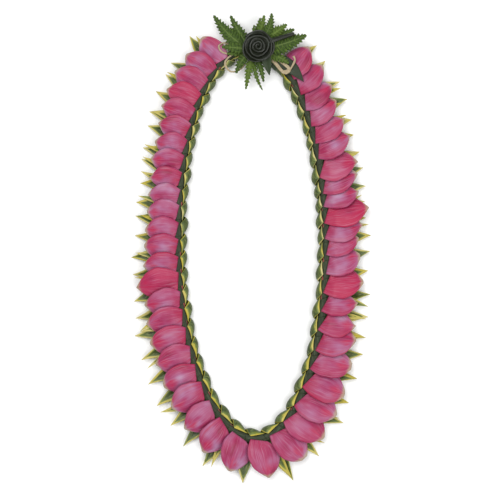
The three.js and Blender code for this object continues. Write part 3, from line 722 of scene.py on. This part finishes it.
def add_tongue(shape, turn):
    """The folded leaf from the lower lip, under the core and up to its yellow folded margin."""
    ws = [-1, -0.8, -0.6, -0.42, -0.25, -0.1] + steps(16, 0.03, 1)
    vs = [-0.03, 0, 0.03, 0.07] + steps(18, 0.12, 1) + [1.06, 1.14]
    # tone: how much wider the margin is, how cream, and the stretch of noise. Round the lower
    # bend the margins are broader and more yellow
    low_bend = smoothstep(12, 18, turn) * smoothstep(35, 29, turn)
    cream = (0.5 + 0.5 * draw(turn, 22)) * (1 - 0.8 * low_bend)
    tone = (draw(turn, 21) + 0.6 * low_bend, cream, turn * 0.37)
    full = 0.3 if is_bare(turn) else LOBE_BULGE * (1 + 0.4 * draw(turn, 26))
    pitch = SEAMS[turn + 1] - SEAMS[turn]
    # some turns show the margin across their start too
    cap = 0.3 + 0.6 * max(0, draw(turn, 25))

    def at(v, w):
        v += START_ROUNDING * max(0, 1 - v) ** 2 * (max(0, w - 0.2) / 0.8) ** 2
        fold = fold_at(v)
        p = fold * (w + 1) / 2
        swell = swell_at(v)
        low = mix(LIP, UNDERSIDE, smoothstep(0, 0.12, p))
        high = LOBE[1] + FOLD_LIFT + FOLD_SWELL * swell
        hump = flowing([(0.25, 0), (0.38, 0.55), (0.5, 1), ((0.5 + fold) / 2, 0.55), (fold, 0)], p)
        radius = mix(low, high, smoothstep(0.2, 0.4, p)) + full * swell * max(0, hump)
        return wound(turn, v, p, radius - LEAF_SKIN / 2 - 1.2 * max(0, v - 1))

    def mark(v, w):
        stripe = between(STRIPE_WIDTHS, v) * (1 + 0.3 * low_bend)
        from_fold = (fold_at(v) * (1 - w) / 2) * WAY_ROUND / stripe
        from_start = (v + 0.03) * pitch / cap
        return min(from_fold, from_start) / 10, v * pitch / 10

    blade(shape, vs, ws, LEAF_SKIN, at, tone, mark)


def add_facet(shape, turn):
    """The dark face of the same leaf that shows between its folded margin and the petal."""
    tone = (draw(turn, 23), max(0, draw(turn, 24)), turn * 0.53)
    pitch = SEAMS[turn + 1] - SEAMS[turn]

    def at(v, w):
        p = mix(fold_at(v) - FACET_UNDER_FOLD, 1, (w + 1) / 2)
        crease = 0.3 * math.sin(math.pi * (w + 1) / 2) * math.sin(math.pi * min(1, max(0, v)))
        return wound(turn, v, p, mix(*FACET, v) - crease - LEAF_SKIN / 2 + 0.2)

    def mark(v, w):
        way = (1 + FACET_UNDER_FOLD - fold_at(v)) * WAY_ROUND
        return (w + 1) / 2 * way / 10, v * pitch / 10

    blade(shape, steps(16, -0.05, 1.08), steps(12, -1, 1), LEAF_SKIN, at, tone, mark)


def leaf_tip(shape, k, length, width, level, swing, rise, kind):
    """The free end of a folded leaf, from its root under the braid to its tip."""
    twist = 0.3 * draw(k, 31 + kind)
    bend = 3.2 * draw(k, 37 + kind)
    uneven = 0.13 * draw(k, 45 + kind)

    def half_at(v):
        return max(0.1, (width / 2) * flowing(LEAF_OUTLINE, v))

    def at_shape(v, w):
        t = w * half_at(v)
        clear = min(1, 5 * v)
        z = LEAF["root"] + (level - LEAF["root"]) * clear + rise * v * v
        # a channel along the middle, a slight twist and a slow wave of the edges
        z += (0.32 * abs(t) - 0.1 * t + twist * t * v) * clear
        z += 0.3 * math.sin(9 * v + k) * abs(w) * clear
        return LEAF_TIP_START + length * v, t + bend * v ** 4, max(z, 0.5)

    def mark(v, w):
        return (1 - abs(w)) * half_at(v) / 10 + uneven * w, length * v / 10

    at = spread(SEAMS[k] + 4, swing, at_shape)
    tone = (1.3 + 2.6 * draw(k, 33 + kind), 0.4 + 0.4 * draw(k, 35 + kind), k * 0.61 + kind)
    blade(shape, steps(20), steps(12, -1, 1), LEAF_TIP_SKIN, at, tone, mark)


def add_leaves(shape, k, next_to_gap):
    """The long tip of turn k, a second one on every fourth turn, and a slim one on most."""
    calm = 0.2 if next_to_gap else 1
    reach = between(LEAF_REACHES, k)
    lean = between(LEAF_SWINGS, k)
    leaf_tip(
        shape, k,
        length=reach + 2.5 * draw(k, 1),
        width=0.86 * (LEAF["width"] + 2 * draw(k, 2)),
        level=LEAF["root"],
        swing=lean + 0.1 * calm * draw(k, 3),
        rise=3 + 2 * draw(k, 4),
        kind=0,
    )
    if k % EXTRA_LEAF_EVERY == 2:
        leaf_tip(
            shape, k,
            length=reach - 2 + 3 * draw(k, 5),
            width=LEAF["width"] * 0.6,
            level=LEAF["root"] + 2,
            swing=lean - 0.24 * calm,
            rise=5,
            kind=1,
        )
    elif draw(k, 6) > -0.3 and not next_to_gap:
        leaf_tip(
            shape, k,
            length=reach - 3 + 2.5 * draw(k, 7),
            width=LEAF["width"] * 0.45,
            level=LEAF["root"] + 3,
            swing=lean + 0.17 * draw(k, 8),
            rise=4,
            kind=2,
        )


def make_leaf_arcs(margined, dark):
    """The braid and the leaves' free ends, in one pair of pieces for each solid arc."""
    for n, first in enumerate(ARC_STARTS):
        last = ARC_STARTS[n + 1] - 1 if n + 1 < len(ARC_STARTS) else TURNS - 1
        tongues, facets = Shape(), Shape()
        for turn in range(first, last + 1):
            add_tongue(tongues, turn)
            add_facet(facets, turn)
        for k in range(max(first, 2), min(last, PETALS + 1) + 1):
            add_leaves(tongues, k, k in (first, last))
        node = f"leaf_braid_{n + 1}"
        piece(f"folded_leaves_{n + 1}", tongues, margined, "folded_leaf", node)
        piece(f"dark_leaf_faces_{n + 1}", facets, dark, "folded_leaf", node)


def make_petal(k, material):
    """Petal k: a cupped blade from its foot in the braid, leaning on the petal before it."""
    spacing = petal_place(k) - petal_place(k - 1)
    reach = LONG_REACHES.get(k, between(REACHES, k) + 1.2 * draw(k, 11))
    start = between(STARTS, k)
    length = reach - start
    width = PETAL["width"] + 0.6 * (reach - 36) + 0.5 * (spacing - 18) + 1.2 * draw(k, 12)
    foot_level = between(FOOT_LEVELS, k)
    trail = between(FOOT_TRAILS, k)
    crown = FIRST_CROWN if k == 1 else LAST_CROWNS.get(k, PETAL["crown"] + 0.5 * draw(k, 13))
    roll = -PETAL_CUP * (width - spacing) - between(STACKS, k) / spacing
    swing = between(SWINGS, k) + 0.02 * math.sin(k * 0.9) + 0.01 * draw(k, 14)
    bow = crown - (foot_level + PETAL["tip"]) / 2
    pointed = min(1, max(0, between(PETAL_POINTS, k) + 0.2 * draw(k, 17)))

    def half_at(v, w):
        early = v + 0.05 * draw(k, 18) * w * 4 * v * (1 - v)
        blunt = mix(flowing(BLUNT_PETAL, early), between(BLUNT_PETAL, early), 0.5)
        outline = mix(blunt, flowing(POINTED_PETAL, early), pointed)
        frill = 0.02 * math.sin(9 * v + 5 * draw(k, 19) + w)
        frill += 0.012 * math.sin(23 * v + 2 * k + 2 * w)
        return width / 2 * outline * (1 + frill * smoothstep(0.1, 0.4, v))

    def shape_at(v, w):
        t = w * half_at(v, w) - trail * max(0, 1 - 2.4 * v)
        slant = max(0, 1 - 3.3 * v) * between(SLANTS, k) * (w + 1) / 2
        lopsided = 2.4 * draw(k, 20) * w * smoothstep(0.6, 1, v)
        u = start + slant + length * v + min(0, lopsided)
        ridge = mix(foot_level, PETAL["tip"], v) + 4 * bow * v * (1 - v)
        lean = between([(0, -0.04), (0.25, roll), (0.7, roll), (1, 0.6 * roll)], v)
        z = ridge - PETAL_CUP * min(1, 0.1 + 3 * v) * t * t + lean * t
        # low waves across the blade, and corners of the tip that stand or hang a little
        z += 0.14 * math.sin(3 * math.pi * w + k) * v * (1 - v) * 4
        z += 0.5 * draw(k, 27) * w * w * smoothstep(0.6, 1, v)
        return u, t, z

    tone = (DEEP_PETALS.get(k, max(0, 0.3 * draw(k, 15))), k * 0.731, 0.5 + 0.5 * draw(k, 16))
    shape = Shape()
    at = spread(petal_place(k), swing, shape_at)
    blade(shape, steps(34), steps(22, -1, 1), PETAL_SKIN, at, tone)
    piece(f"pink_petal_{k:02d}", shape, material, "petal", f"petal_{k:02d}")


def ornament(x, y, z):
    """A point placed from the ornament's own middle."""
    return ORNAMENT_CENTRE[0] + x, ORNAMENT_CENTRE[1] + y, z


def ring(x, y, z, radius, count):
    """Points of a level circle on the ornament."""
    angles = [TAU * n / count for n in range(count)]
    return [ornament(x + radius * math.cos(a), y + radius * math.sin(a), z) for a in angles]


def bezier(start, past, tip, v):
    """A point of the curve from start to tip that bends towards past."""
    a, b, c = (1 - v) ** 2, 2 * v * (1 - v), v * v
    return [a * p + b * q + c * r for p, q, r in zip(start, past, tip)]


def bezier_way(start, past, tip, v):
    """The curve's direction there."""
    way = [2 * (1 - v) * (q - p) + 2 * v * (r - q) for p, q, r in zip(start, past, tip)]
    size = math.hypot(*way)
    return way[0] / size, way[1] / size


def add_fern_piece(shape, number, past, tip, width, teeth, layer, droop):
    """A rib with a blade cut into small forward-leaning lobes, over the solid's larger teeth."""
    level = FERN["bottom"] + FERN["layer"] * layer
    length = sum(
        math.dist(bezier(HUB, past, tip, v), bezier(HUB, past, tip, v + 0.05))
        for v in steps(19, 0, 0.95)
    )
    lobes = round(length * (1 - FERN_BARE) / LOBE_PITCH)
    light = max(0, min(1, 0.12 + 0.35 * draw(number, 41)))

    def share_at(v):
        return max(0, (v - FERN_BARE) / (1 - FERN_BARE))

    def half_at(v):
        share = share_at(v)
        full = width / 2 * mix(1, 0.16, share ** 1.8)
        # a low swell for each large tooth, and a sawtooth notch for each lobe
        coarse = 0.94 + 0.06 * math.cos(TAU * (share * teeth - 0.6))
        phase = share * lobes % 1
        past_peak = phase - LOBE_PEAK
        notch = abs(past_peak) / LOBE_PEAK if past_peak < 0 else past_peak / (1 - LOBE_PEAK)
        tooth = min(LOBE_DEPTH, 0.5 * full) * notch
        stalk = smoothstep(FERN_BARE - 0.12, FERN_BARE + 0.02, v)
        end = 1 - 0.75 * smoothstep(0.95, 1, v)
        return max(0.25, end * mix(1.2, full * coarse - tooth, stalk))

    def at(v, w):
        half = half_at(v)
        reach = min(1, v + abs(w) * half * 0.4 / length)
        x, y = bezier(HUB, past, tip, reach)
        dx, dy = bezier_way(HUB, past, tip, v)
        pleat = 0.28 * math.cos(TAU * (share_at(v) * lobes - 0.6)) * min(1, 2 * abs(w))
        # both halves fall away from the rib and rock slowly along it
        z = level - 0.08 * abs(w) * half - droop * v * v + pleat * (1 - 0.5 * v)
        z += 0.35 * math.sin(5 * v + number) * w
        return ornament(x - dy * w * half, y + dx * w * half, z)

    def mark(v, w):
        return abs(w), share_at(v) * lobes + 0.9

    vs = [0, 0.1, 0.2] + steps(lobes * 10, FERN_BARE - 0.04, 1)
    ws = [-1, -0.8, -0.6, -0.4, -0.2, -0.06, 0, 0.06, 0.2, 0.4, 0.6, 0.8, 1]
    blade(shape, vs, ws, FERN_SKIN, at, (light, number * 1.37, 0), mark)


def make_ferns(material):
    """All fern pieces, spread from one hub under the rose."""
    shape = Shape()
    for number, row in enumerate(FERN_PIECES):
        add_fern_piece(shape, number, *row)
    piece("fern_pieces", shape, material, "fern", "fern_fronds")


def add_rose_wall(shape):
    """The leaf's long roll, winding outward in flared folds that overlap as petals do."""
    turns, bottom, top = ROSE["turns"], ROSE["bottom"], ROSE["top"]

    def at(v, w):
        angle = TAU * turns * v + 0.6
        up = (w + 1) / 2
        spiral = 1.4 + (ROSE["radius"] - 3.4) * min(1, v / 0.78) ** 1.2
        spiral += v * math.cos(2.6 * angle)
        # the rim sinks outward in uneven waves, and its edge curls over
        rim = mix(top - 0.5, bottom + 6, v ** 1.4) - 1.4 * abs(math.sin(1.3 * angle)) * v
        deep = mix(2.4, 3.2, v)
        curl = max(0, up - 0.8) / 0.2
        radius = 1.12 * spiral - 4 * (1 - up) ** 1.1 * min(1, 0.25 + 2.5 * v) + 0.3 * curl
        radius += 0.12 * math.sin(11 * angle) * up
        z = rim - deep * (1 - up) ** 0.8 - 0.7 * curl ** 2
        radius = max(0.3, radius)
        x, y = radius * math.cos(angle), radius * math.sin(angle)
        return ornament(ROSE["x"] + x, ROSE["y"] + y, z)

    def mark(v, w):
        return (w + 1) / 2, v * 12

    blade(shape, steps(300), steps(12, -1, 1), ROSE_WALL, at, (0, 0.3, 0), mark, rim=0.6)


def add_rose_cup(shape):
    """The closed base that the roll stands on."""
    rings = []
    for v in steps(6):
        z = ROSE["bottom"] + ROSE_CUP["height"] * v
        radius = mix(ROSE_CUP["lower"], ROSE_CUP["upper"], v)
        rings.append(ring(ROSE["x"], ROSE["y"], z, radius, ROSE_CUP["points"]))
    tube(shape, rings, (0, 0.7, 0))


def add_rose_tip(shape):
    """The leaf's pointed tip, hanging out below the roll."""
    (x0, y0), (x1, y1) = ROSE_TIP

    def at(v, w):
        half = 5.6 * flowing([(0, 1), (0.3, 1), (0.7, 0.6), (1, 0.05)], v)
        z = mix(ROSE["bottom"] + 2.9, ROSE["bottom"] - 3, v) + 0.2 * half * abs(w)
        return ornament(mix(x0, x1, v) + w * half, mix(y0, y1, v), z)

    blade(shape, steps(18), steps(10, -1, 1), TI_LEAF_SKIN, at, (0.5, 0.1, 0))


def add_rose_stem(shape):
    """The leaf's rolled stem, out to the right."""
    (x0, y0), (x1, y1) = ROSE_STEM
    size = math.dist(*ROSE_STEM)
    dx, dy = (x1 - x0) / size, (y1 - y0) / size
    rings = []
    for v in steps(24):
        r = flowing([(0, 2.6), (0.5, 2.3), (0.96, 1.9), (1, 1.5)], v)
        section = []
        for n in range(24):
            a = TAU * n / 24
            roll = r * (1 + 0.12 * math.sin(3 * a + 2.5 * v))
            x = mix(x0, x1, v) - dy * roll * math.cos(a)
            y = mix(y0, y1, v) + dx * roll * math.cos(a)
            section.append(ornament(x, y, ROSE["bottom"] + 4 - v + roll * math.sin(a)))
        rings.append(section)
    tube(shape, rings, (0, 0.9, 0))


def make_rose(material):
    """The rose: one ti leaf with its roll, base, tip and stem."""
    shape = Shape()
    add_rose_wall(shape)
    add_rose_cup(shape)
    add_rose_tip(shape)
    add_rose_stem(shape)
    piece("rolled_leaf_rose", shape, material, "ti_leaf", "ti_leaf_rose")


# The wrap lies round the join, 32 mm before the loop closes, and its flap points back from it
WRAP = {"place": LOOP_LENGTH - 32, "radius": LOBE[0] + 0.85, "from": -2.6, "to": -5.4, "half": 4}
FLAP = {"length": 31, "half": 7, "from": 3, "to": 8.5}
FLAP_OUTLINE = [(0, 0.9), (0.4, 1), (0.7, 0.6), (1, 0.04)]
FLAP_LIFT = [(0, 0), (0.22, 0.1), (0.47, 1.8), (0.7, 2.9), (1, 3.3)]


def make_wrap(material):
    """The dark leaf folded over the bare braid, with its pointed flap over the last petal."""
    shape = Shape()

    def band(v, w):
        angle = mix(WRAP["from"], WRAP["to"], v)
        return around(WRAP["place"] + WRAP["half"] * w, angle, WRAP["radius"])

    def flap(v, w):
        half = FLAP["half"] * flowing(FLAP_OUTLINE, v)
        u = mix(FLAP["from"], FLAP["to"], v) + w * half
        lift = flowing(FLAP_LIFT, v) + 0.06 * max(0, u - 2) * min(1, 2 * v)
        s = WRAP["place"] - FLAP["length"] * v
        return place(s, u, CORE_HEIGHT + WRAP["radius"] + lift)

    blade(shape, steps(30), steps(6, -1, 1), TI_LEAF_SKIN, band, (0.7, 0.4, 0))
    blade(shape, steps(24), steps(12, -1, 1), TI_LEAF_SKIN, flap, (0.3, 0.2, 0))
    piece("folded_ti_leaf", shape, material, "ti_leaf", "ti_leaf_wrap")


def through(points, x):
    """A point of a smooth line through the points, with x from 0 to 1."""
    last = len(points) - 1
    rows = [(n / last, p) for n, p in enumerate(points)]
    return [flowing([(where, p[axis]) for where, p in rows], x) for axis in range(3)]


def add_strand(shape, points, width, number):
    """A flat strand that follows the points, uneven in width and slightly twisted."""

    def at(v, w):
        here = through(points, v)
        ahead, behind = through(points, min(1, v + 0.01)), through(points, max(0, v - 0.01))
        size = math.dist(ahead[:2], behind[:2]) or 1
        side = (-(ahead[1] - behind[1]) / size, (ahead[0] - behind[0]) / size)
        half = width / 2 * (1 + 0.12 * math.sin(17 * v + number))
        sag = 0.25 * math.sin(9 * v + 2 * number) * w
        return here[0] + side[0] * w * half, here[1] + side[1] * w * half, here[2] + sag

    def mark(v, w):
        return w, 8 * v

    tone = (0.2 * number, 0.1 * number, 0)
    blade(shape, steps(60), steps(4, -1, 1), STRAND_SKIN, at, tone, mark)


def add_tie_ring(shape):
    """The ring of raffia that binds the braid."""
    inside = LOBE[0] + TIE_GAP
    half = RAFFIA["ring"] / 2
    rings = []
    for n in range(40):
        a = TAU * n / 40
        section = []
        for u, r in ((-half, 0), (half, 0), (half, 0.7), (0.3 * half, 0.9), (-half, 0.8)):
            section.append(around(TIE_PLACE + u, a, inside + r, 0.1 if r > 0 else 1.0))
        rings.append(section)
    tube(shape, rings, (0.8, 0.2, 0), closed=True, mark_length=6)


def make_raffia(material):
    """The tie: two small loops, the bow with its curled end, the ring and the knot."""
    shape = Shape()
    level = RAFFIA["level"]
    knot_point = place(TIE_PLACE, 0, 0)
    knot = (knot_point[0] - ORNAMENT_CENTRE[0], knot_point[1] - ORNAMENT_CENTRE[1])

    def path(rows):
        return [ornament(x, y, level + z) for x, y, z in rows]

    add_strand(shape, path([(*knot, 0.4), *UPPER_LOOP, (*knot, 0.6)]), RAFFIA["upper"], 1)
    add_strand(shape, path([(*knot, 0.4), *LOWER_LOOP, (*knot, 0.5)]), RAFFIA["lower"], 2)
    add_strand(shape, path([(*knot, 0.3), *BOW]), RAFFIA["bow"], 3)
    add_strand(shape, path(CURL), RAFFIA["curl"], 4)
    add_tie_ring(shape)
    tube(shape, [ring(*knot, level + z, radius, 16) for radius, z in KNOT], (0.3, 0.6, 0))
    piece("raffia_strands", shape, material, "raffia", "raffia_tie")


def make_stage():
    """A plain pale table."""
    corners = [
        (x * TABLE_HALF, y * TABLE_HALF, 0) for x, y in ((-1, -1), (1, -1), (1, 1), (-1, 1))
    ]
    mesh = bpy.data.meshes.new("table")
    mesh.from_pydata(corners, [], [[0, 1, 2, 3]])
    table = put_in_scene("table", mesh)
    material = bpy.data.materials.new("matt_white_table")
    material.use_nodes = True
    surface = material.node_tree.nodes["Principled BSDF"]
    surface.inputs["Base Color"].default_value = linear("#FBFBFB")
    surface.inputs["Roughness"].default_value = 0.9
    mesh.materials.append(material)


def add_lamp(name, position, size, watts):
    """A square soft box that points at the middle of the lei."""
    data = bpy.data.lights.new(name, "AREA")
    data.shape = "SQUARE"
    data.size = size
    data.energy = watts
    lamp = put_in_scene(name, data)
    lamp.location = position
    lamp.rotation_euler = (-Vector(position)).to_track_quat("-Z", "Y").to_euler()


def make_light():
    """Even room light and two soft boxes."""
    world = bpy.data.worlds.new("soft_room")
    world.use_nodes = True
    background = world.node_tree.nodes["Background"]
    background.inputs["Color"].default_value = linear("#FFFFFF")
    background.inputs["Strength"].default_value = ROOM_LIGHT
    bpy.context.scene.world = world
    for lamp in LAMPS:
        add_lamp(**lamp)
    view = bpy.context.scene.view_settings
    view.view_transform = "Standard"
    view.look = "None"


def make_camera():
    """A camera straight above the middle of the photograph."""
    data = bpy.data.cameras.new("above")
    data.sensor_width = SENSOR_WIDTH
    data.lens = SENSOR_WIDTH * (CAMERA_HEIGHT - FOCUS_LEVEL) / PHOTO_WIDTH
    camera = put_in_scene("above", data)
    camera.location = (*CAMERA_CENTRE, CAMERA_HEIGHT)
    bpy.context.scene.camera = camera


def main():
    make_camera()
    make_leaf_arcs(margined_leaf(), leaf_face())
    petal_material = fresh_petal()
    for k in range(1, PETALS + 1):
        make_petal(k, petal_material)
    ti_leaf = dark_ti_leaf()
    make_ferns(fern_leaf())
    make_rose(ti_leaf)
    make_wrap(ti_leaf)
    raffia = dried_raffia()
    make_raffia(raffia)
    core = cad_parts["core_cord"]
    core.data.materials.clear()
    core.data.materials.append(raffia)
    make_stage()
    make_light()


main()
